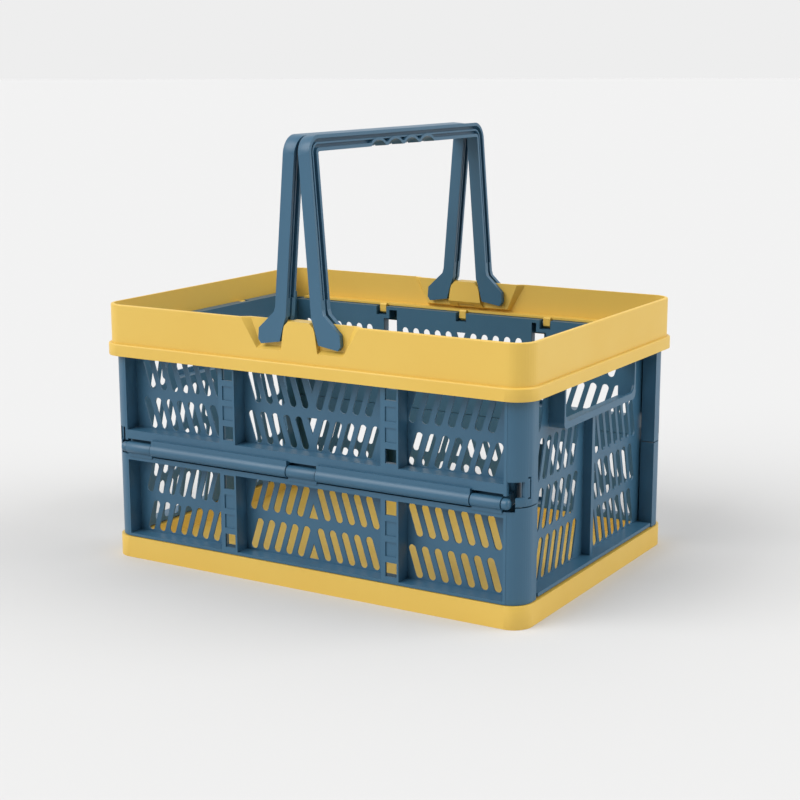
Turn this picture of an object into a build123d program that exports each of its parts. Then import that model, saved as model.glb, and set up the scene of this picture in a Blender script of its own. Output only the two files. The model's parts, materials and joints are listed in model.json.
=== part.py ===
from build123d import *
from math import cos, radians
import os

# Collapsible carrying crate.  Millimetres, +Z up, +X along the long side,
# the front long side faces -Y.  The crate stands on z = 0, centred on the origin.

# ---- overall sizes -------------------------------------------------------
rim_length = 430.0            # over the outward flange of the rim
rim_width = 306.0
rim_top = 233.5
rim_bottom = 187.5
flange_height = 11.0
flange_proud = 3.0
rim_wall = 3.0
rim_corner = 18.0             # outer corner radius of the upright band
rim_edge = 1.0                # rounding of the rim's top edge
flange_round = 1.6
ledge_bottom = 204.0          # ledge inside the rim, just over the long walls
ledge_thickness = 2.0
ledge_reach = 10.0
ledge_end = 20.0              # ledge stops this far short of the rim's inner ends

tray_inset = 5.0              # tray inside the rim's outline, all round
tray_length = rim_length - 2 * tray_inset
tray_width = rim_width - 2 * tray_inset
tray_height = 19.5
tray_corner = 17.0
tray_wall = 2.6
floor_top = 6.5
floor_thickness = 2.5
border_width = 19.0           # raised border round the tray floor
well_corner = 6.0
tray_rib = 2.2                # ribs under the floor
tray_rib_pitch = 62.0
tray_rib_lift = 1.0           # ribs stop this far below the floor's upper face
tray_rest = 0.5               # play between tray border and the long panels

# ---- clearances ----------------------------------------------------------
frame_play = 0.5              # rim inner face to the outer plane of the walls
ledge_play = 0.5              # rim ledge to the top of the long walls
running_fit = 0.05            # radial, pin in bore
panel_play = 0.6              # end panel to the fixed walls beside it
hinge_play = 0.5              # pin head to the last knuckle

# ---- long side walls -----------------------------------------------------
band_length = rim_length - 2 * flange_proud
band_width = rim_width - 2 * flange_proud
inner_length = band_length - 2 * rim_wall
inner_width = band_width - 2 * rim_wall
wall_x = inner_length / 2 - frame_play      # outer plane of the end faces
wall_y = inner_width / 2 - frame_play       # outer plane of the long faces
wall_depth = 16.5                           # outer plane to inside face
skin = 1.3
skin_out = wall_y - wall_depth + skin       # outer face of the skin
skin_in = wall_y - wall_depth               # inside face of the skin
post_corner = 18.0
post_width = 17.5
return_width = 25.5
return_depth = 13.0
return_top = 200.5            # the post's return stops below the end panel's pivot
post_wall = 2.5
strip_centre = 82.5
strip_half = 11.7             # centre to the upright side of the strip
strip_face = 17.0             # width of the strip's outer face
strip_flare = 6.4             # how far the sloping side runs out to the skin
strip_wall = 2.0
strip_lap = 6.2               # skin left behind the windows' upright side
strip_cap = 3.0               # solid at the strip's two ends
window_count = 4
lower_window = 12.0           # first window above the lower panel's foot
upper_window = 9.5            # first window above the upper panel's rail

hinge_z = 103.5
hinge_y = wall_y - 0.5
pin_radius = 2.5
barrel_radius = 5.8
knuckle_radius = 5.3
centre_knuckle = 14.5
end_knuckle = 27.0
notch_height = 8.0
knuckle_gap = 0.8
knuckle_end_gap = 1.0         # post to the first knuckle
notch_back_gap = 1.0          # notch behind the short knuckles
notch_below = 9.0
pin_head = 4.6
pin_head_length = 6.5
pin_head_round = 3.0
relief_length = 10.0          # cut round the pin heads
relief_half = 6.5
post_window_inset = 3.0       # post window from the wall's end plane
post_window_width = 11.5
post_window_depth = 9.0
post_window_low = 5.0         # above the hinge axis
post_window_high = 18.0
slit_inset = 13.0             # slit in the post's end face, from the front plane
slit_width = 1.4
slit_hook = 2.0
slit_low = 3.5
slit_height = 18.0

lower_bottom = tray_height + tray_rest
lower_top = hinge_z - 3.3
rail_gap = 7.0                # hinge axis down to the lower rail top
skin_gap = 0.6                # hinge axis down to the lower panel's skin
seam = 1.0
upper_top = ledge_bottom - ledge_play
bottom_rail = 2.5
lower_rail = 4.5
upper_rail = 16.0
top_rail = 4.0

# ---- slots ---------------------------------------------------------------
slot_width = 7.0
slot_height = 28.4
slot_lean = 17.5
slot_pitch = 12.3
inner_slots = 5
inner_first = 10.6
outer_first = 101.9
post_margin = 7.5             # last slot's centre to the post, at least
outer_slots = 1 + int((wall_x - post_width - post_margin - outer_first) / slot_pitch)
row_pitch = 35.8
lower_row = lower_bottom + 17.9
upper_row = hinge_z + 30.8
triangle_base = 10.0
triangle_height = 14.0
window_width = 10.8
window_height = 12.4
window_pitch = 17.7
window_margin = 1.8          # window to the strip's upright side
recess_depth = 1.0

# ---- rim hooks and bars --------------------------------------------------
hook_pitch = 91.0
hook_width = 7.0
hook_notch = 11.5
bar_radius = 1.8
bar_inset = 9.5               # bar axis behind the outer plane
bar_drop = 3.2                # bar axis below the panel top
notch_depth = 8.5
hook_ring = 3.6
end_hook_width = 8.0
end_hook_notch = 12.0
end_hook_ring = 4.6
end_hook_root = 1.5           # hook arm at the rim wall, from here below the axis
end_hook_low = 9.0            # to here
cheek = 3.5
cheek_front = 4.5             # cheek ahead of the bar axis
hook_bevel = 1.2
tab_inset = 9.5               # tray hinge tabs, axis behind the outer plane

# ---- tray hinge tabs -----------------------------------------------------
tab_pitch = 110.0
tab_width = 18.0
tab_thickness = 8.0
tab_axis_z = 11.0
tab_slot_play = 0.8
lug_thickness = 3.5
lug_side = 1.5                # lug wider than the tab on each side
lug_below = 6.0               # lug bottom below the tab axis
lug_top_drop = 0.5
trunnion_length = 3.0

# ---- end panels ----------------------------------------------------------
end_axis_x = inner_length / 2 - 6.0
end_axis_z = ledge_bottom + 3.0
end_bead = 4.6                # round bead along the top, centred on the axis
end_skin_in = end_axis_x - 10.3
end_frame_out = end_axis_x - 1.0
collar_out = end_axis_x + 5.5
end_bottom = 21.5
end_rail = 3.0
rib_width = 5.6
end_hook_pitch = 92.0
end_row_height = 36.2
end_row_pitch = 42.1
end_row_first = 42.6
end_slot_lean = 15.0
end_slot_width = 8.2
end_slot_pitch = 13.2
end_slot_first = 22.0
end_margin = 20.0             # last slot's centre to the panel's side edge, at least
end_slots = 1 + int((skin_in - panel_play - end_margin - end_slot_first) / end_slot_pitch)
hand_hole_width = 142.0
hand_hole_bottom = 157.0
hand_hole_top = 190.0
hand_hole_corner = 8.0
collar_side = 2.5
collar_sill = 6.0
collar_lip = 2.2              # upright lip along the sill's outer edge
collar_floor = 1.8
collar_lap = 2.0              # collar above the hand hole's top edge
collar_round = 5.0
collar_clear = 8.0            # collar to the nearest slot of the top row
end_rows = 4
end_notch_deep = 7.5          # notch for the hook, below the axis
end_notch_out = 6.0
end_notch_in = 5.6

# ---- handles -------------------------------------------------------------
pivot_x = 35.2
pivot_z = 225.0
handle_lean = 4.6
leg_offset = 15.8             # leg centre line behind the pivot
leg_width = 11.2
leg_depth = 13.4              # across the rim, flush with its outer face
leg_flange = 3.0
leg_web = 2.4
mid_rib = 3.4
mid_rib_width = 1.6
handle_height = 163.5         # pivot to the top of the grip, upright
bail_corner = 15.0
bail_spare = 30.0             # drawn below the web start, then cut away
foot_gap = 0.4
foot_plate_thickness = 4.6
foot_side = 5.4               # pivot to the foot's outer side
foot_low = 12.7               # pivot down to the foot's lower outer corner
foot_round = 3.0
foot_bridge_height = 3.0
foot_rise = 16.0              # top of the foot plate above the web's start
web_start = 13.0
handle_pin = 3.0
scallops = 4
scallop_pitch = 28.0
scallop_radius = 17.0
scallop_depth = 5.0
scallop_lip = 2.4

# ---- seats for the handle feet in the rim ----------------------------------
seat_depth = foot_plate_thickness + foot_gap
seat_half_top = 52.6          # floor of the seat, half width at the rim top
seat_half_low = 42.6
seat_low = 211.0              # floor of the seat, lower edge
seat_slope_top = 7.4          # sloping sides outside the floor
seat_slope_low = 0.8
seat_slope_down = 2.8
bridge_half_low = 18.3
bridge_half = 15.9            # half width level with the pivot
bridge_shoulder = 14.6        # half width where the sides begin to close in
bridge_half_top = 10.5
bridge_low = 208.0
shoulder_drop = 4.0           # shoulder below the rim top
bridge_wall = 2.6
bridge_slope = 7.0            # slanted cut under the bridge's inner side


def box(x0, x1, y0, y1, z0, z1):
    centre = ((x0 + x1) / 2, (y0 + y1) / 2, (z0 + z1) / 2)
    return Pos(*centre) * Box(x1 - x0, y1 - y0, z1 - z0)


def rod_x(radius, x0, x1, y, z):
    return Pos((x0 + x1) / 2, y, z) * Rot(0, 90, 0) * Cylinder(radius, x1 - x0)


def rod_y(radius, y0, y1, x, z):
    return Pos(x, (y0 + y1) / 2, z) * Rot(90, 0, 0) * Cylinder(radius, y1 - y0)


def rounded_block(length, width, z0, z1, corner):
    outline = RectangleRounded(length, width, corner)
    return Pos(0, 0, z0) * extrude(outline, z1 - z0)


def plate_xz(points, y0, y1):
    # closed outline given as (x, z), thickened from y0 to y1
    face = Plane.XZ * make_face(Polyline(*points, close=True))
    return Pos(0, y0, 0) * extrude(face, -(y1 - y0))


def plate_yz(points, x0, x1):
    face = Plane.YZ * make_face(Polyline(*points, close=True))
    return Pos(x0, 0, 0) * extrude(face, x1 - x0)


def slot_cutter_y(x, z, lean, height, width, y0, y1):
    # rounded slot through a wall that faces Y; positive lean tips the top to +X
    shape = Plane.XZ * (Pos(x, z) * Rot(0, 0, -lean) * SlotOverall(height, width, rotation=90))
    return Pos(0, y1, 0) * extrude(shape, y1 - y0)


def slot_cutter_x(y, z, lean, height, width, x0, x1):
    shape = Plane.YZ * (Pos(y, z) * Rot(0, 0, -lean) * SlotOverall(height, width, rotation=90))
    return Pos(x0, 0, 0) * extrude(shape, x1 - x0)


def slot_height_along(vertical, lean, width):
    # overall slot length whose vertical reach is the given height
    return (vertical - width) / cos(radians(lean)) + width


# ---- tray ----------------------------------------------------------------
def base_tray():
    tray = rounded_block(tray_length, tray_width, 0, tray_height, tray_corner)
    well_x = tray_length - 2 * border_width
    well_y = tray_width - 2 * border_width
    tray -= rounded_block(well_x, well_y, floor_top, tray_height + 1, well_corner)
    under_outer = rounded_block(
        tray_length - 2 * tray_wall,
        tray_width - 2 * tray_wall,
        -1,
        tray_height - tray_wall,
        tray_corner - tray_wall,
    )
    under_inner = rounded_block(
        well_x + 2 * tray_wall,
        well_y + 2 * tray_wall,
        -2,
        tray_height,
        well_corner + tray_wall,
    )
    tray -= under_outer - under_inner
    tray -= rounded_block(well_x, well_y, -1, floor_top - floor_thickness, well_corner)
    ribs = []
    half = tray_rib / 2
    rib_top = floor_top - tray_rib_lift
    for i in range(-2, 3):
        x = i * tray_rib_pitch
        ribs.append(box(x - half, x + half, -well_y / 2, well_y / 2, 0, rib_top))
    for i in (-1, 0, 1):
        y = i * tray_rib_pitch
        ribs.append(box(-well_x / 2, well_x / 2, y - half, y + half, 0, rib_top))
    tray += ribs
    tray -= [tray_slot(side, i) for side in (-1, 1) for i in (-1, 0, 1)]
    tray += [tray_lug(side, i, end) for side in (-1, 1) for i in (-1, 0, 1) for end in (-1, 1)]
    bore = pin_radius + running_fit
    cuts = []
    for side in (-1, 1):
        for i in (-1, 0, 1):
            x = i * tab_pitch
            reach = tab_width / 2 + lug_thickness + 2
            cuts.append(rod_x(bore, x - reach, x + reach, side * tab_axis_y(), tab_axis_z))
    return tray - cuts


def tab_axis_y():
    return wall_y - tab_inset


def tray_slot(side, i):
    x = i * tab_pitch
    y = side * tab_axis_y()
    half = tab_thickness / 2 + tab_slot_play
    wide = tab_width / 2 + tab_slot_play
    return box(x - wide, x + wide, y - half, y + half, tray_wall, tray_height + 1)


def tray_lug(side, i, end):
    x = i * tab_pitch + end * (tab_width / 2 + tab_slot_play + lug_thickness / 2)
    y = side * tab_axis_y()
    half = lug_thickness / 2
    wide = tab_thickness / 2 + lug_side
    z0 = tab_axis_z - lug_below
    return box(x - half, x + half, y - wide, y + wide, z0, tray_height - lug_top_drop)


# ---- long side walls, drawn for the front (-Y) side ------------------------
def corner_post(z0, z1):
    inner_corner = post_corner - post_wall
    shell = rounded_block(2 * wall_x, 2 * wall_y, z0, z1, post_corner)
    shell -= rounded_block(
        2 * (wall_x - post_wall), 2 * (wall_y - post_wall), z0 - 1, z1 + 1, inner_corner
    )
    x0 = wall_x - post_width
    keep = box(x0, wall_x + 1, -wall_y - 1, -wall_y + return_width, z0, z1)
    post = shell & keep
    post += box(x0, x0 + post_wall, -wall_y, -skin_in, z0, z1)
    lip_y = -wall_y + return_width
    lip_top = min(z1, return_top)
    post += box(wall_x - return_depth, wall_x, lip_y - post_wall, lip_y, z0, lip_top)
    return post


def both_posts(z0, z1):
    right = corner_post(z0, z1)
    return [right, mirror(right, about=Plane.YZ)]


def strip_edge(side):
    # upright side of a strip; the windows stand next to it
    return side * strip_centre + strip_half


def plate_xy(points, z0, z1):
    return Pos(0, 0, z0) * extrude(make_face(Polyline(*points, close=True)), z1 - z0)


def wall_strip(side, z0, z1):
    edge = strip_edge(side)
    near = edge - strip_face
    foot = near - strip_flare
    outline = [(near, -wall_y), (edge, -wall_y), (edge, -skin_in), (foot, -skin_in), (foot, -skin_out)]
    strip = plate_xy(outline, z0, z1)
    front = -wall_y + strip_wall
    hollow = [
        (near + strip_wall, front),
        (edge - window_margin, front),
        (edge - window_margin, -skin_out),
        (edge - strip_lap, -skin_out),
        (edge - strip_lap, -skin_in + 1),
        (foot + strip_wall, -skin_in + 1),
        (foot + strip_wall, -skin_out),
    ]
    return strip, plate_xy(hollow, z0 + strip_cap, z1 - strip_cap)


def strip_windows(side, first_z):
    right = strip_edge(side) - window_margin
    cuts = []
    for k in range(window_count):
        z = first_z + k * window_pitch
        deep = strip_wall + 1 if k in (0, window_count - 1) else recess_depth
        z0 = z - window_height / 2
        z1 = z + window_height / 2
        cuts.append(box(right - window_width, right, -wall_y - 1, -wall_y + deep, z0, z1))
    return cuts


def wall_slots(first_row, flip):
    # flip 1 leans the slots like a roof, -1 like a valley
    cuts = []
    length = slot_height_along(slot_height, slot_lean, slot_width)
    y0 = -skin_out - 1
    y1 = -skin_in + 1
    for row in range(2):
        z = first_row + row * row_pitch
        for side in (-1, 1):
            lean = -side * flip * slot_lean
            places = [outer_first + k * slot_pitch for k in range(outer_slots)]
            places += [inner_first + k * slot_pitch for k in range(inner_slots)]
            for place in places:
                cuts.append(slot_cutter_y(side * place, z, lean, length, slot_width, y0, y1))
        tip = z + flip * (triangle_height - slot_height / 2)
        foot = z - flip * slot_height / 2
        outline = [(-triangle_base / 2, foot), (triangle_base / 2, foot), (0, tip)]
        cuts.append(plate_xz(outline, y0, y1))
    return cuts


def front_lower_panel():
    x_skin = wall_x - post_width + post_wall
    skin_top = hinge_z - skin_gap
    rail_top = hinge_z - rail_gap
    x_clear = wall_x - post_width - panel_play
    panel = box(-x_skin, x_skin, -skin_out, -skin_in, lower_bottom, lower_top)
    panel += box(-x_clear, x_clear, -skin_out, -skin_in, lower_bottom, skin_top)
    panel += both_posts(lower_bottom, lower_top)
    panel += box(-x_skin, x_skin, -wall_y, -skin_in, lower_bottom, lower_bottom + bottom_rail)
    panel += box(-x_skin, x_skin, -wall_y, -skin_in, rail_top - lower_rail, rail_top)
    strips = [wall_strip(side, lower_bottom, rail_top) for side in (-1, 1)]
    panel += [strip for strip, hollow in strips]
    panel += [knuckle(x0, x1, knuckle_radius, -1) for x0, x1 in short_knuckles()]
    panel += [base_tab(i) for i in (-1, 0, 1)]
    cuts = wall_slots(lower_row, 1) + [hollow for strip, hollow in strips]
    for side in (-1, 1):
        cuts += strip_windows(side, lower_bottom + lower_window)
        cuts.append(pin_head_relief(side, lower_top + 1))
    cuts.append(hinge_bore())
    return panel - cuts


def front_upper_panel():
    x_skin = wall_x - post_width + post_wall
    skin_bottom = hinge_z
    panel = box(-x_skin, x_skin, -skin_out, -skin_in, skin_bottom, upper_top)
    panel += both_posts(lower_top + seam, upper_top)
    panel += box(-x_skin, x_skin, -wall_y, -skin_in, skin_bottom, skin_bottom + upper_rail)
    panel += box(-x_skin, x_skin, -wall_y, -skin_in, upper_top - top_rail, upper_top)
    foot = skin_bottom + upper_rail - strip_cap
    strips = [wall_strip(side, foot, upper_top) for side in (-1, 1)]
    panel += [strip for strip, hollow in strips]
    panel += [knuckle(x0, x1, barrel_radius, 1) for x0, x1 in long_knuckles()]
    cuts = wall_slots(upper_row, -1) + [hollow for strip, hollow in strips]
    for x0, x1 in short_knuckles():
        wide0 = x0 - knuckle_gap
        wide1 = x1 + knuckle_gap
        deep = hinge_y - knuckle_radius - notch_back_gap
        z0 = hinge_z - notch_below
        cuts.append(box(wide0, wide1, -wall_y - 1, -deep, z0, hinge_z + notch_height))
    for side in (-1, 1):
        cuts += strip_windows(side, hinge_z + upper_rail + upper_window)
        cuts.append(pin_head_relief(side, hinge_z + relief_half))
        cuts += post_window(side)
        cuts += post_slit(side)
    cuts.append(hinge_bore())
    panel -= cuts
    return hook_seats(panel)


def knuckle_reach():
    return wall_x - post_width - knuckle_end_gap


def short_knuckles():
    end = knuckle_reach()
    return [
        (-end, -end + end_knuckle),
        (-centre_knuckle, centre_knuckle),
        (end - end_knuckle, end),
    ]


def long_knuckles():
    inner = centre_knuckle + knuckle_gap
    outer = knuckle_reach() - end_knuckle - knuckle_gap
    return [(-outer, -inner), (inner, outer)]


def knuckle(x0, x1, radius, up):
    # barrel on the hinge line, tied to its own panel above or below
    barrel = rod_x(radius, x0, x1, -hinge_y, hinge_z)
    back = -hinge_y + radius
    if up > 0:
        tie = box(x0, x1, -hinge_y - radius * 0.55, back, hinge_z, hinge_z + radius * 1.6)
    else:
        low = hinge_z - rail_gap - 1.0
        tie = box(x0, x1, -hinge_y - radius * 0.3, back, low, hinge_z)
    return barrel + tie


def hinge_bore():
    return rod_x(pin_radius + running_fit, -wall_x - 1, wall_x + 1, -hinge_y, hinge_z)


def pin_head_relief(side, top):
    x0 = knuckle_reach()
    x1 = x0 + relief_length
    z0 = hinge_z - relief_half
    part = box(x0, x1, -wall_y - 3, -hinge_y + relief_half, z0, top)
    if side < 0:
        part = mirror(part, about=Plane.YZ)
    return part


def post_window(side):
    # window in the post's front, with a second one behind it in the post's inner side
    x1 = wall_x - post_window_inset
    x0 = x1 - post_window_width
    z0 = hinge_z + post_window_low
    z1 = hinge_z + post_window_high
    back = post_window_depth / 2
    inner = wall_x - post_width - 1
    cuts = [
        box(x0, x1, -wall_y - 1, -wall_y + post_window_depth, z0, z1),
        box(inner, inner + post_wall + 2, -wall_y + back, -skin_out - 1, z0 + 2, z1 - 2),
    ]
    if side < 0:
        cuts = [mirror(cut, about=Plane.YZ) for cut in cuts]
    return cuts


def post_slit(side):
    # narrow upright slit through the post's end face, hooked at both ends
    x0 = wall_x - post_wall - 1
    x1 = wall_x + 1
    y = -wall_y + slit_inset
    z0 = hinge_z + slit_low
    z1 = z0 + slit_height
    cuts = [
        box(x0, x1, y, y + slit_width, z0, z1),
        box(x0, x1, y - slit_hook, y, z0, z0 + slit_width),
        box(x0, x1, y - slit_hook, y, z1 - slit_width, z1),
    ]
    if side < 0:
        cuts = [mirror(cut, about=Plane.YZ) for cut in cuts]
    return cuts


def hook_seats(panel):
    # open notches in the top rail, each bridged by a bar the rim hook grips
    y = -wall_y + bar_inset
    z = upper_top - bar_drop
    cheeks = []
    notches = []
    bars = []
    for i in (-1, 0, 1):
        x = i * hook_pitch
        half = hook_notch / 2
        side = half + cheek
        front = y - cheek_front
        cheeks.append(box(x - side, x + side, front, -skin_in, z - notch_depth, upper_top))
        floor = upper_top - notch_depth
        notches.append(box(x - half, x + half, -wall_y - 1, -skin_in + 1, floor, upper_top + 1))
        bars.append(rod_x(bar_radius, x - half - 1, x + half + 1, y, z))
    panel += cheeks
    panel -= notches
    return panel + bars


def base_tab(i):
    x = i * tab_pitch
    y = -tab_axis_y()
    half = tab_width / 2
    thick = tab_thickness / 2
    tab = box(x - half, x + half, y - thick, y + thick, tab_axis_z, lower_bottom + 1)
    tab += rod_x(thick, x - half, x + half, y, tab_axis_z)
    reach = half + tab_slot_play + trunnion_length
    return tab + rod_x(pin_radius, x - reach, x + reach, y, tab_axis_z)


def hinge_pin():
    end = knuckle_reach()
    pin = rod_x(pin_radius, -end - 1, end + 1, -hinge_y, hinge_z)
    for side in (-1, 1):
        inner = side * (end + hinge_play)
        outer = side * (end + hinge_play + pin_head_length)
        cap = rod_x(pin_head, min(inner, outer), max(inner, outer), -hinge_y, hinge_z)
        rim_edges = cap.edges().filter_by(GeomType.CIRCLE).sort_by(Axis.X)
        edge = rim_edges[-1] if side > 0 else rim_edges[0]
        pin += fillet(edge, pin_head_round)
    return pin


def to_rear(part):
    return Rot(0, 0, 180) * part


# ---- rim -----------------------------------------------------------------
def rim_frame():
    rim = rounded_block(band_length, band_width, rim_bottom, rim_top, rim_corner)
    top_edges = rim.edges().group_by(Axis.Z)[-1]
    rim = fillet(top_edges, rim_edge)
    flange = rounded_block(
        rim_length, rim_width, rim_bottom, rim_bottom + flange_height, rim_corner + flange_proud
    )
    rim += fillet(flange.edges().group_by(Axis.Z)[-1], flange_round)
    rim -= rounded_block(
        inner_length, inner_width, rim_bottom - 1, rim_top + 1, rim_corner - rim_wall
    )
    additions = []
    for side in (-1, 1):
        additions.append(rim_ledge(side))
        additions.append(on_side(seat_bulge(), side))
        additions.append(on_side(seat_bridge(), side))
        for i in (-1, 0, 1):
            additions.append(on_side(long_hook(i * hook_pitch), side))
        for i in (-0.5, 0.5):
            additions.append(end_hook(side, i * end_hook_pitch))
    rim += additions
    cuts = []
    for side in (-1, 1):
        cuts.append(on_side(seat_cut(), side))
        for end in (-1, 1):
            cuts.append(on_side(pivot_bore(end * pivot_x), side))
    return rim - cuts


def on_side(part, side):
    # rim features are drawn on the front side and mirrored to the rear
    return part if side < 0 else mirror(part, about=Plane.XZ)


def rim_ledge(side):
    reach = inner_length / 2 - ledge_end
    y0 = side * (inner_width / 2 - ledge_reach)
    y1 = side * (inner_width / 2 + 1)
    top = ledge_bottom + ledge_thickness
    return box(-reach, reach, min(y0, y1), max(y0, y1), ledge_bottom, top)


def trapezoid(half_top, half_low, z_low, z_top, y):
    outline = [(-half_low, z_low), (half_low, z_low), (half_top, z_top), (-half_top, z_top)]
    return Pos(0, y, 0) * (Plane.XZ * make_face(Polyline(*outline, close=True)))


def seat_cut():
    # sloped recess outside the rim wall, left whole at the bridge
    face = -band_width / 2
    top = rim_top + 1
    wide_top = seat_half_top + seat_slope_top
    wide_low = seat_half_low + seat_slope_low
    wide_z = seat_low - seat_slope_down
    outer = trapezoid(wide_top, wide_low, wide_z, top, face)
    floor = trapezoid(seat_half_top, seat_half_low, seat_low, top, face + seat_depth)
    cut = loft([outer, floor])
    cut += Pos(0, -2, 0) * extrude(outer, -2)
    return cut - plate_xz(bridge_outline(top), face - 5, face + seat_depth + 1)


def seat_bulge():
    # the wall bulges inwards behind the recess, so it keeps its thickness
    inside = -inner_width / 2
    root = trapezoid(
        seat_half_top + seat_slope_top + 2,
        seat_half_low + seat_slope_low + 2,
        seat_low - seat_slope_down - 2,
        rim_top,
        inside - 0.5,
    )
    crest = trapezoid(
        seat_half_top + 2, seat_half_low + 2, seat_low - 2, rim_top, inside + seat_depth
    )
    return loft([root, crest])


def bridge_outline(top):
    right = [
        (bridge_half_low, bridge_low),
        (bridge_half, pivot_z),
        (bridge_shoulder, rim_top - shoulder_drop),
        (bridge_half_top, rim_top),
    ]
    if top > rim_top:
        right.append((bridge_half_top, top))
    return right + [(-x, z) for x, z in reversed(right)]


def seat_bridge():
    # hollow block between the two feet, flush with them outside and inside
    face = -band_width / 2
    back = face + leg_depth
    bridge = plate_xz(bridge_outline(rim_top), face, back)
    slope = [
        (back - bridge_slope, bridge_low - 1),
        (back + 1, bridge_low - 1),
        (back + 1, bridge_low + bridge_slope),
    ]
    bridge -= plate_yz(slope, -bridge_half_low - 1, bridge_half_low + 1)
    half = bridge_half_top - 1
    core = box(
        -half, half, face + bridge_wall, back - bridge_wall, bridge_low - 1, rim_top - bridge_wall
    )
    return bridge - core


def pivot_bore(x):
    y0 = -band_width / 2 + seat_depth - 1
    y1 = -inner_width / 2 + seat_depth + 1
    return rod_y(handle_pin + running_fit, y0, y1, x, pivot_z)


def long_hook(x):
    # hangs from the ledge and closes round the wall's bar
    y = -wall_y + bar_inset
    z = upper_top - bar_drop
    wall = -inner_width / 2 - 1
    top = ledge_bottom + ledge_thickness
    half = hook_width / 2
    r = hook_ring
    outline = [
        (wall, ledge_bottom),
        (wall, top),
        (y + r - hook_bevel, top),
        (y + r, top - hook_bevel),
        (y + r, z - 2.2),
        (y + 1.8, z - r),
        (y - 1.8, z - r),
        (y - r, z - 1.8),
        (y - r, ledge_bottom),
    ]
    hook = plate_yz(outline, x - half, x + half)
    return hook - rod_x(bar_radius + running_fit, x - half - 1, x + half + 1, y, z)


def end_hook(side, y):
    # reaches in from the rim wall below the bar and closes round it
    x = end_axis_x
    z = end_axis_z
    wall = inner_length / 2 + 1
    half = end_hook_width / 2
    r = end_hook_ring
    arm = [(x, z - r), (x + r, z), (wall, z - end_hook_root), (wall, z - end_hook_low)]
    hook = plate_xz(arm, y - half, y + half) + rod_y(r, y - half, y + half, x, z)
    hook -= rod_y(pin_radius + running_fit, y - half - 1, y + half + 1, x, z)
    if side < 0:
        hook = mirror(hook, about=Plane.YZ)
    return hook


# ---- end panels, drawn for the right (+X) end --------------------------------
def right_end_panel():
    half = skin_in - panel_play
    face = end_skin_in + skin
    frame = wall_y - return_width - post_wall - panel_play
    top = end_axis_z + end_bead
    panel = box(end_skin_in, face, -half, half, end_bottom, top)
    panel += box(end_skin_in, end_axis_x, -frame, frame, top - skin, top)
    panel += rod_y(end_bead, -frame, frame, end_axis_x, end_axis_z)
    panel += box(end_skin_in, collar_out, -frame, frame, end_bottom, end_bottom + end_rail)
    sill = hand_hole_bottom - collar_sill
    panel += box(end_skin_in, end_frame_out, -rib_width / 2, rib_width / 2, end_bottom, sill + 1)
    hole = hand_hole_width / 2
    collar = box(
        end_skin_in,
        collar_out,
        -hole - collar_side,
        hole + collar_side,
        sill,
        hand_hole_top + collar_lap,
    )
    outer = collar.edges().filter_by(Axis.X).group_by(Axis.Z)[0]
    panel += fillet(outer, collar_round)
    cuts = end_slot_cuts()
    cuts.append(hand_hole())
    floor = sill + collar_floor
    gutter_top = hand_hole_bottom + hand_hole_corner
    cuts.append(box(end_skin_in - 1, collar_out - collar_lip, -hole, hole, floor, gutter_top))
    panel -= cuts
    return end_bars(panel)


def hand_hole():
    height = hand_hole_top - hand_hole_bottom
    shape = RectangleRounded(hand_hole_width, height, hand_hole_corner)
    mid = (hand_hole_top + hand_hole_bottom) / 2
    hole = Pos(end_skin_in - 1, 0, mid) * extrude(Plane.YZ * shape, collar_out - end_skin_in + 2)
    return hole


def end_slot_cuts():
    cuts = []
    length = slot_height_along(end_row_height, end_slot_lean, end_slot_width)
    clear = hand_hole_width / 2 + collar_side + collar_clear
    x0 = end_skin_in - 1
    x1 = end_skin_in + skin + 1
    for row in range(end_rows):
        z = end_row_first + row * end_row_pitch
        high = z + end_row_height / 2 > hand_hole_bottom - collar_sill
        for side in (-1, 1):
            lean = -side * end_slot_lean
            for k in range(end_slots):
                place = end_slot_first + k * end_slot_pitch
                if high and place < clear:
                    continue
                cuts.append(
                    slot_cutter_x(side * place, z, lean, length, end_slot_width, x0, x1)
                )
    return cuts


def end_bars(panel):
    notches = []
    bars = []
    x = end_axis_x
    z = end_axis_z
    half = end_hook_notch / 2
    for i in (-0.5, 0.5):
        y = i * end_hook_pitch
        z0 = z - end_notch_deep
        z1 = z + end_notch_out
        notches.append(box(x - end_notch_in, x + end_notch_out, y - half, y + half, z0, z1))
        bars.append(rod_y(pin_radius, y - half - 1, y + half + 1, x, z))
    panel -= notches
    return panel + bars


# ---- handles, drawn upright for the right handle, pivot at the origin --------
def bail_outline(inset):
    # U outline in the YZ plane, closed below the web start
    half = band_width / 2 - inset
    top = handle_height - inset
    corner = max(bail_corner - inset, 1.0)
    low = web_start - bail_spare
    shape = Pos(0, (top + low) / 2) * Rectangle(2 * half, top - low)
    corners = shape.vertices().group_by(Axis.Y)[-1]
    return fillet(corners, corner)


def bail_layer(outer_inset, inner_inset, x0, x1, cut_height):
    ring = bail_outline(outer_inset) - bail_outline(inner_inset)
    part = Pos(x0, 0, 0) * extrude(Plane.YZ * ring, x1 - x0)
    below = box(x0 - 1, x1 + 1, -rim_width, rim_width, -rim_top, cut_height)
    return part - below


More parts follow.
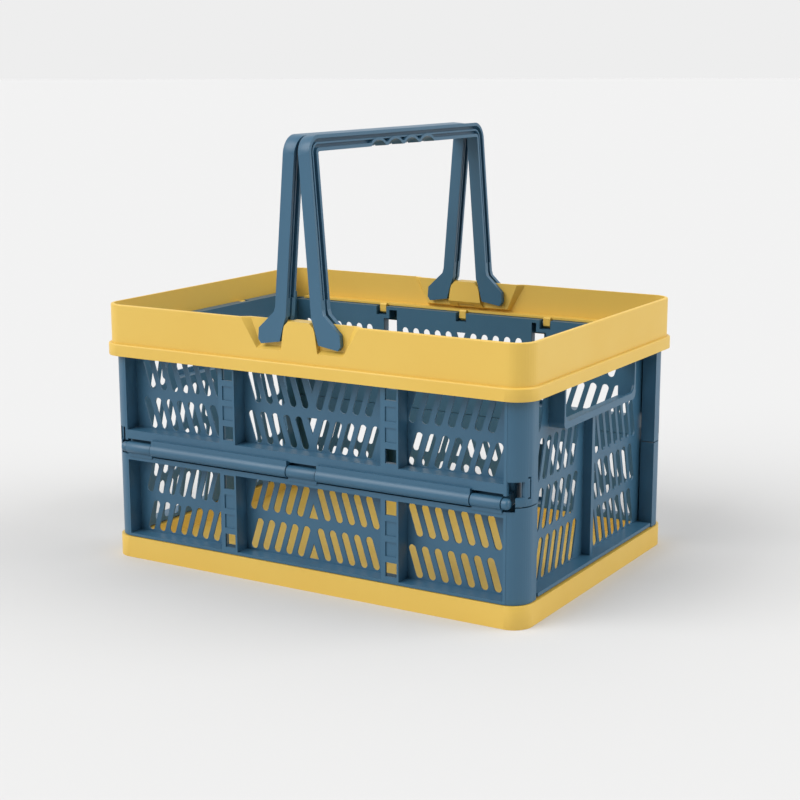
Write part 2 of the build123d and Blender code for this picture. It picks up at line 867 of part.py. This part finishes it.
def right_handle():
    c = -leg_offset
    half = leg_width / 2
    web = leg_web / 2
    flange = leg_flange
    depth = leg_depth
    bail = bail_layer(0, flange, c - half, c + half, web_start)
    bail += bail_layer(depth - flange, depth, c - half, c + half, web_start)
    bail += bail_layer(flange - 0.5, depth - flange + 0.5, c - web, c + web, web_start)
    mid0 = (depth - mid_rib_width) / 2
    mid1 = (depth + mid_rib_width) / 2
    bail += bail_layer(mid0, mid1, c - web - mid_rib, c + web + mid_rib, web_start)
    bail += scallop_lips()
    outer = band_width / 2
    inner = outer - leg_depth
    for side in (-1, 1):
        bail += foot_plate(side, outer - foot_plate_thickness, outer)
        bail += foot_plate(side, inner, inner_width / 2 - seat_depth - foot_gap)
        bail += foot_bridge(side)
        y0 = side * (inner + 1)
        y1 = side * (outer - 1)
        bail += rod_y(handle_pin, min(y0, y1), max(y0, y1), 0, 0)
    bail -= [scallop_disc(k, scallop_radius) for k in range(scallops)]
    return Pos(pivot_x, 0, pivot_z) * Rot(0, -handle_lean, 0) * bail


def foot_plate(side, y0, y1):
    # flares away from the leg on the side that the handle swings to
    inner = -leg_offset - leg_width / 2
    outer = -leg_offset + leg_width / 2
    top = web_start + foot_rise
    outline = [
        (inner, top),
        (inner, web_start + 1.0),
        (inner + 1.7, web_start - 5.0),
        (inner + 4.9, -foot_low + 4.6),
        (foot_side - foot_round, -foot_low),
        (foot_side, -foot_low + foot_round + 0.7),
        (foot_side, 0.5),
        (outer + 1.0, web_start + 3.5),
        (outer, web_start + 8.0),
        (outer, top),
    ]
    plate = plate_xz(outline, y0, y1)
    if side < 0:
        plate = mirror(plate, about=Plane.XZ)
    return plate


def foot_bridge(side):
    # closes the lower end of the leg section just above the rim edge
    outer = side * band_width / 2
    inner = side * (band_width / 2 - leg_depth)
    c = -leg_offset
    web = leg_web / 2 + mid_rib
    top = web_start + foot_bridge_height
    return box(c - web, c + web, min(inner, outer), max(inner, outer), web_start, top)


def scallop_disc(k, radius):
    # finger hollow k under the grip, as a disc across the leg width
    z = handle_height - leg_depth + scallop_depth - scallop_radius
    y = (k - (scallops - 1) / 2) * scallop_pitch
    return Pos(-leg_offset, y, z) * Rot(0, 90, 0) * Cylinder(radius, leg_width)


def scallop_lips():
    bottom = handle_height - leg_depth
    reach = scallops * scallop_pitch
    half = leg_width / 2
    c = -leg_offset
    top = bottom + scallop_depth + scallop_lip
    band = box(c - half, c + half, -reach, reach, bottom, top)
    return [scallop_disc(k, scallop_radius + scallop_lip) & band for k in range(scallops)]


def build():
    parts = {}
    parts["base_tray"] = base_tray()
    parts["rim_frame"] = rim_frame()
    parts["front_lower_panel"] = front_lower_panel()
    parts["front_upper_panel"] = front_upper_panel()
    parts["rear_lower_panel"] = to_rear(parts["front_lower_panel"])
    parts["rear_upper_panel"] = to_rear(parts["front_upper_panel"])
    parts["front_hinge_pin"] = hinge_pin()
    parts["rear_hinge_pin"] = to_rear(parts["front_hinge_pin"])
    parts["right_end_panel"] = right_end_panel()
    parts["left_end_panel"] = to_rear(parts["right_end_panel"])
    parts["right_handle"] = right_handle()
    parts["left_handle"] = to_rear(parts["right_handle"])
    return parts


os.makedirs("parts", exist_ok=True)
for name, part in build().items():
    export_step(part, "parts/" + name + ".step")
    size = part.bounding_box()
    print(name, len(part.solids()), [round(v, 1) for v in (*size.min, *size.max)])
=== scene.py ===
import json
import math

import bmesh
import bpy
from mathutils import Matrix, Vector


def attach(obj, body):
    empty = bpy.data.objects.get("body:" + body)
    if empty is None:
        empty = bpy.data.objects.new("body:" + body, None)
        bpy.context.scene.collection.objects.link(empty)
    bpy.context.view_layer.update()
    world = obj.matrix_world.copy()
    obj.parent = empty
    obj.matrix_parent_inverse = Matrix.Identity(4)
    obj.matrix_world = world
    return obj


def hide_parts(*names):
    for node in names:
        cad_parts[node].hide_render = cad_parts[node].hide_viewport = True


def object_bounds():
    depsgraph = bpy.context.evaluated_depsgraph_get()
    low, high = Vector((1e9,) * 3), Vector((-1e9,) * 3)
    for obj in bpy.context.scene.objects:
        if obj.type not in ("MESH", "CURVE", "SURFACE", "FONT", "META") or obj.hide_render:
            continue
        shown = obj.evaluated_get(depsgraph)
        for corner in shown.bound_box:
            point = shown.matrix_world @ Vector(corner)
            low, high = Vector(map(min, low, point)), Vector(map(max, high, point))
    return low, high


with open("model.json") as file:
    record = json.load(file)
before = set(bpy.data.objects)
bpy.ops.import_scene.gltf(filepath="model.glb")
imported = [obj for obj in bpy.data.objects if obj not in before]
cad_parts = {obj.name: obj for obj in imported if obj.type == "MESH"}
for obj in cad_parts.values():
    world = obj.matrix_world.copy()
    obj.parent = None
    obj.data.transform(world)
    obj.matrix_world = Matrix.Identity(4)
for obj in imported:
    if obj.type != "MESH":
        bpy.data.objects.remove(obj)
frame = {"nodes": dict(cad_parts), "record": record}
cadBox = [list(corner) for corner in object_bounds()]
print("frame loaded:", len(frame["nodes"]), "nodes")

scene = bpy.context.scene
mm = 0.001


# camera: stands in front of the crate's right corner, a little above the raised handles
cameraSettings = {
    "place": (764.9, -1264.7, 451.7),   # mm
    "turn": -30.886,                    # degrees, from looking along +Y
    "tilt": -11.891,
    "roll": -0.092,
    "lens": 74.05,
    "sensor": 36.0,
    "nearest": 0.05,                    # metres
    "furthest": 30.0,
}


def addCamera(settings):
    turn, tilt, roll = (math.radians(settings[k]) for k in ("turn", "tilt", "roll"))
    ahead = Vector((math.sin(turn) * math.cos(tilt), math.cos(turn) * math.cos(tilt), math.sin(tilt)))
    right = ahead.cross(Vector((0, 0, 1))).normalized()
    up = right.cross(ahead)
    turnedRight = right * math.cos(roll) + up * math.sin(roll)
    turnedUp = up * math.cos(roll) - right * math.sin(roll)
    data = bpy.data.cameras.new("studioCamera")
    data.lens = settings["lens"]
    data.sensor_width = settings["sensor"]
    data.clip_start = settings["nearest"]
    data.clip_end = settings["furthest"]
    camera = bpy.data.objects.new("studioCamera", data)
    axes = Matrix((turnedRight, turnedUp, -ahead)).transposed().to_4x4()
    camera.matrix_world = Matrix.Translation(Vector(settings["place"]) * mm) @ axes
    scene.collection.objects.link(camera)
    scene.camera = camera


addCamera(cameraSettings)
print("camera set")


def linear(hexColour):
    # sRGB hex to the linear colour that a shader socket wants
    parts = [int(hexColour[i:i + 2], 16) / 255 for i in (0, 2, 4)]
    return tuple(p / 12.92 if p <= 0.04045 else ((p + 0.055) / 1.055) ** 2.4 for p in parts) + (1.0,)


def addNode(tree, kind, sockets, **properties):
    # one shader node: a socket takes a value, or a link from another node's output
    node = tree.nodes.new(kind)
    for name, value in properties.items():
        setattr(node, name, value)
    for socket, value in sockets.items():
        if isinstance(value, bpy.types.NodeSocket):
            tree.links.new(value, node.inputs[socket])
        else:
            node.inputs[socket].default_value = value
    return node


# stage: a sheet of pale paper in an even room, with two large soft lamps
stageSettings = {
    "floorColour": "cecece",
    "floorSize": 60.0,          # metres, so the paper's far edge meets the backdrop
    "backdrop": "eeeeee",
    "darkSide": (0.51, -0.84, 0.18),    # the unlit part of the room
    "darkFrom": 0.25,           # cosine from that side at which the room starts to dim
    "darkFull": 0.88,           # cosine at which it is fully dim
    "darkLevel": 0.15,
}
softLights = {
    "leftDiffuser": {"from": (-0.50, -0.85, 0.85), "power": 2.3, "angle": 50.0},
    "rightDiffuser": {"from": (0.90, 0.40, 0.70), "power": 1.5, "angle": 50.0},
}


def addFloor(settings):
    shape = bmesh.new()
    bmesh.ops.create_grid(shape, x_segments=1, y_segments=1, size=settings["floorSize"])
    bmesh.ops.translate(shape, verts=shape.verts, vec=(0, 0, cadBox[0][2]))
    mesh = bpy.data.meshes.new("studioFloor")
    shape.to_mesh(mesh)
    shape.free()
    floor = bpy.data.objects.new("studioFloor", mesh)
    scene.collection.objects.link(floor)
    # uncoated background paper: no gloss at all, so the floor carries only the soft shadow
    paper = bpy.data.materials.new("paleStudioPaper")
    paper.use_nodes = True
    shader = paper.node_tree.nodes["Principled BSDF"]
    shader.inputs["Base Color"].default_value = linear(settings["floorColour"])
    shader.inputs["Roughness"].default_value = 1.0
    shader.inputs["Specular IOR Level"].default_value = 0.0
    mesh.materials.append(paper)


def addBackdrop(settings):
    # an even pale room with one dim side, which leaves the recesses that face it dark
    world = bpy.data.worlds.new("studioWorld")
    scene.world = world
    world.use_nodes = True
    tree = world.node_tree
    place = addNode(tree, "ShaderNodeTexCoord", {})
    toward = addNode(tree, "ShaderNodeVectorMath", {
        0: place.outputs["Generated"], 1: Vector(settings["darkSide"]).normalized()},
        operation="DOT_PRODUCT")
    level = addNode(tree, "ShaderNodeMapRange", {
        "Value": toward.outputs["Value"], 1: settings["darkFrom"], 2: settings["darkFull"],
        3: 1.0, 4: settings["darkLevel"]})
    back = tree.nodes["Background"]
    back.inputs["Color"].default_value = linear(settings["backdrop"])
    tree.links.new(level.outputs[0], back.inputs["Strength"])


def addSun(name, settings):
    data = bpy.data.lights.new(name, "SUN")
    data.energy = settings["power"]
    data.angle = math.radians(settings["angle"])
    light = bpy.data.objects.new(name, data)
    light.rotation_euler = Vector(settings["from"]).to_track_quat("Z", "Y").to_euler()
    scene.collection.objects.link(light)


scene.view_settings.view_transform = "Standard"
addFloor(stageSettings)
addBackdrop(stageSettings)
for lightName, lightSettings in softLights.items():
    addSun(lightName, lightSettings)
print("studio set")


# Both plastics are polypropylene from an injection mould with a spark-eroded grain:
# an even satin skin with soft, slightly uneven highlights. The real grain is about
# 0.1 mm; it is drawn coarser, so that it still breaks up a highlight at this distance.
yellowPlastic = {
    "name": "mouldedPolypropyleneMustard",
    "colour": "dfbc59",
    "deep": "dab24d",
    "roughness": 0.46,
    "ior": 1.49,
    "grain": 0.45,         # mm, spacing of the drawn grain
    "grainDepth": 0.012,   # mm
    "cloud": 90.0,         # mm, size of the slow drift in colour and gloss
}
bluePlastic = {
    "name": "mouldedPolypropyleneSlateBlue",
    "colour": "39647e",
    "deep": "335b75",
    "roughness": 0.38,
    "ior": 1.49,
    "grain": 0.45,
    "grainDepth": 0.012,
    "cloud": 90.0,
}
mouldSkin = {
    "cloudDetail": 3.0,
    "cloudRoughness": 0.55,
    "grainDetail": 2.0,
    "grainRoughness": 0.6,
    "driftFrom": 0.3,      # the part of the drift's noise that changes the gloss
    "driftTo": 0.7,
    "glossier": 0.04,      # roughness taken off where the mould is most polished
    "duller": 0.05,        # roughness added where it is most worn
    "grainStrength": 0.35,
}


def mouldedPlastic(settings, skin):
    material = bpy.data.materials.new(settings["name"])
    material.use_nodes = True
    tree = material.node_tree
    shader = tree.nodes["Principled BSDF"]
    shader.inputs["IOR"].default_value = settings["ior"]
    place = addNode(tree, "ShaderNodeTexCoord", {})
    cloud = addNode(tree, "ShaderNodeTexNoise", {
        "Vector": place.outputs["Object"], "Scale": 1 / (settings["cloud"] * mm),
        "Detail": skin["cloudDetail"], "Roughness": skin["cloudRoughness"]})
    drift = addNode(tree, "ShaderNodeMix", {
        0: cloud.outputs["Fac"],
        6: linear(settings["colour"]), 7: linear(settings["deep"])}, data_type="RGBA")
    tree.links.new(drift.outputs[2], shader.inputs["Base Color"])
    speck = addNode(tree, "ShaderNodeTexNoise", {
        "Vector": place.outputs["Object"], "Scale": 1 / (settings["grain"] * mm),
        "Detail": skin["grainDetail"], "Roughness": skin["grainRoughness"]})
    gloss = addNode(tree, "ShaderNodeMapRange", {
        "Value": cloud.outputs["Fac"], 1: skin["driftFrom"], 2: skin["driftTo"],
        3: settings["roughness"] - skin["glossier"], 4: settings["roughness"] + skin["duller"]})
    tree.links.new(gloss.outputs[0], shader.inputs["Roughness"])
    bump = addNode(tree, "ShaderNodeBump", {
        "Height": speck.outputs["Fac"], "Strength": skin["grainStrength"],
        "Distance": settings["grainDepth"] * mm})
    tree.links.new(bump.outputs["Normal"], shader.inputs["Normal"])
    return material


mustard = mouldedPlastic(yellowPlastic, mouldSkin)
slateBlue = mouldedPlastic(bluePlastic, mouldSkin)
print("plastics mixed")


# every moulding: its plastic, its colour slot, and the small radius its mould leaves, in mm
mouldings = {
    "base_tray": {"plastic": mustard, "slot": "yellow_pp", "radius": 0.9},
    "rim_frame": {"plastic": mustard, "slot": "yellow_pp", "radius": 0.8},
    "front_lower_panel": {"plastic": slateBlue, "slot": "blue_pp", "radius": 0.45},
    "front_upper_panel": {"plastic": slateBlue, "slot": "blue_pp", "radius": 0.45},
    "rear_lower_panel": {"plastic": slateBlue, "slot": "blue_pp", "radius": 0.45},
    "rear_upper_panel": {"plastic": slateBlue, "slot": "blue_pp", "radius": 0.45},
    "left_end_panel": {"plastic": slateBlue, "slot": "blue_pp", "radius": 0.45},
    "right_end_panel": {"plastic": slateBlue, "slot": "blue_pp", "radius": 0.45},
    "front_hinge_pin": {"plastic": slateBlue, "slot": "blue_pp", "radius": 0.3},
    "rear_hinge_pin": {"plastic": slateBlue, "slot": "blue_pp", "radius": 0.3},
    "left_handle": {"plastic": slateBlue, "slot": "blue_pp", "radius": 0.6},
    "right_handle": {"plastic": slateBlue, "slot": "blue_pp", "radius": 0.6},
}
bevelSettings = {
    "weld": 0.01,          # mm; corners closer than this become one
    "sameFlat": 0.6,       # degrees; triangles that differ by less become one face
    "cornerAngle": 35.0,   # degrees; sharper edges get the mould's radius
    "levelAngle": 1.0,     # degrees; faces that bend more than this belong to a curve
    "segments": 2,
    "profile": 0.5,        # a round radius
    "flatArea": 60.0,      # mm2; larger faces are flat walls
}


def bodyOf(node):
    bodies = frame["record"]["behaviour"]["bodies"]
    return next(body for body, members in bodies.items() if node in members)


def refineMoulding(node, settings, bevel):
    shape = bmesh.new()
    shape.from_mesh(frame["nodes"][node].data)
    bmesh.ops.remove_doubles(shape, verts=shape.verts, dist=bevel["weld"] * mm)
    bmesh.ops.dissolve_limit(
        shape, angle_limit=math.radians(bevel["sameFlat"]), verts=shape.verts,
        edges=shape.edges, use_dissolve_boundaries=False)
    corner = math.radians(bevel["cornerAngle"])
    level = math.radians(bevel["levelAngle"])
    corners = [e for e in shape.edges if e.is_manifold and e.calc_face_angle(0) > corner]
    for face in shape.faces:
        # only the faces of a curve are shaded round, so the flat walls stay flat
        bends = [e.calc_face_angle(0) for e in face.edges if e.is_manifold]
        face.smooth = face.calc_area() < bevel["flatArea"] * mm * mm and any(
            level < bend < corner for bend in bends)
    rounded = bmesh.ops.bevel(
        shape, geom=corners, offset=settings["radius"] * mm, offset_type="OFFSET",
        segments=bevel["segments"], profile=bevel["profile"], affect="EDGES", material=-1,
        clamp_overlap=True, loop_slide=False)
    for face in rounded["faces"]:
        face.smooth = True
    mesh = bpy.data.meshes.new(node + "_moulded")
    shape.to_mesh(mesh)
    shape.free()
    piece = bpy.data.objects.new(node + "_moulded", mesh)
    scene.collection.objects.link(piece)
    mesh.materials.append(settings["plastic"])
    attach(piece, bodyOf(node))
    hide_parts(node)
    return piece


for nodeName, moulding in mouldings.items():
    moulded = refineMoulding(nodeName, moulding, bevelSettings)
    print("refined", nodeName, len(moulded.data.polygons), "faces")
